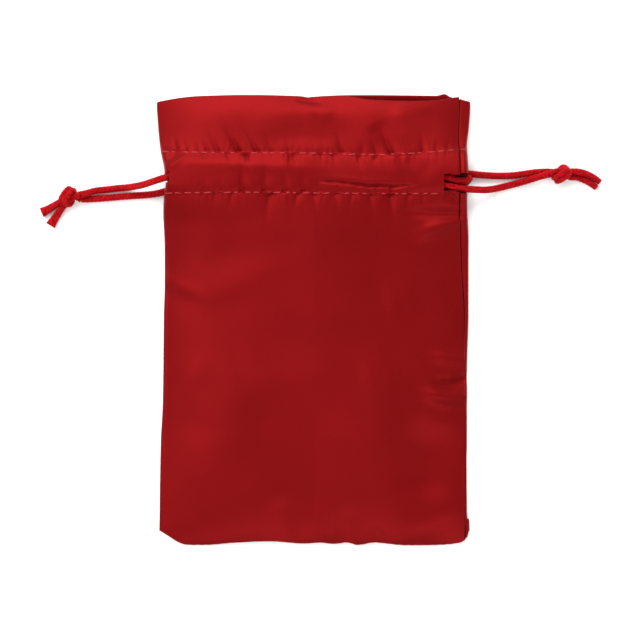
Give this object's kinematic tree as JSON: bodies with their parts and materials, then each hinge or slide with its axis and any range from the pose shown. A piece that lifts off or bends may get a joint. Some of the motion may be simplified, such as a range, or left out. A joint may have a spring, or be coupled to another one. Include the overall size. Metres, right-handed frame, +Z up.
{
  "type": "drawstring dice bag",
  "caption": "Flat satin drawstring pouch for gaming dice, with a ruffled header, a sewn cord channel and two knotted cords that pull against each other.",
  "frame": {"origin": "middle of the bag's underside, on the surface it lies on", "axes": "+X from the left knot's side to the right knot's side, +Y from the bottom seam to the mouth, +Z up out of the surface through the front panel"},
  "size_m": [0.1859, 0.1466, 0.013],
  "materials": {
    "satin": "satin weave with a soft sheen",
    "cord_satin": "braided satin cord",
    "thread": "spun polyester sewing thread"
  },
  "bodies": {
    "bag": {"front_panel": "satin", "back_panel": "satin", "front_upper_stitching": "thread", "front_lower_stitching": "thread", "back_upper_stitching": "thread", "back_lower_stitching": "thread", "seam_thread": "thread", "left_header_seam_thread": "thread", "right_header_seam_thread": "thread"},
    "left_drawstring": {"left_cord": "cord_satin", "left_knot": "cord_satin"},
    "right_drawstring": {"right_cord": "cord_satin", "right_knot": "cord_satin"}
  },
  "joints": [
    {"name": "left_cord_pull", "type": "slide", "parent": "bag", "child": "left_drawstring", "axis": [-1, 0, 0], "range_m": [0, 0.03], "deforming": ["front_panel", "back_panel", "front_upper_stitching", "front_lower_stitching", "back_upper_stitching", "back_lower_stitching", "seam_thread", "left_header_seam_thread", "right_header_seam_thread"]},
    {"name": "right_cord_pull", "type": "slide", "parent": "bag", "child": "right_drawstring", "axis": [1, 0, 0], "range_m": [0, 0.03], "deforming": ["front_panel", "back_panel", "front_upper_stitching", "front_lower_stitching", "back_upper_stitching", "back_lower_stitching", "seam_thread", "left_header_seam_thread", "right_header_seam_thread"]}
  ]
}
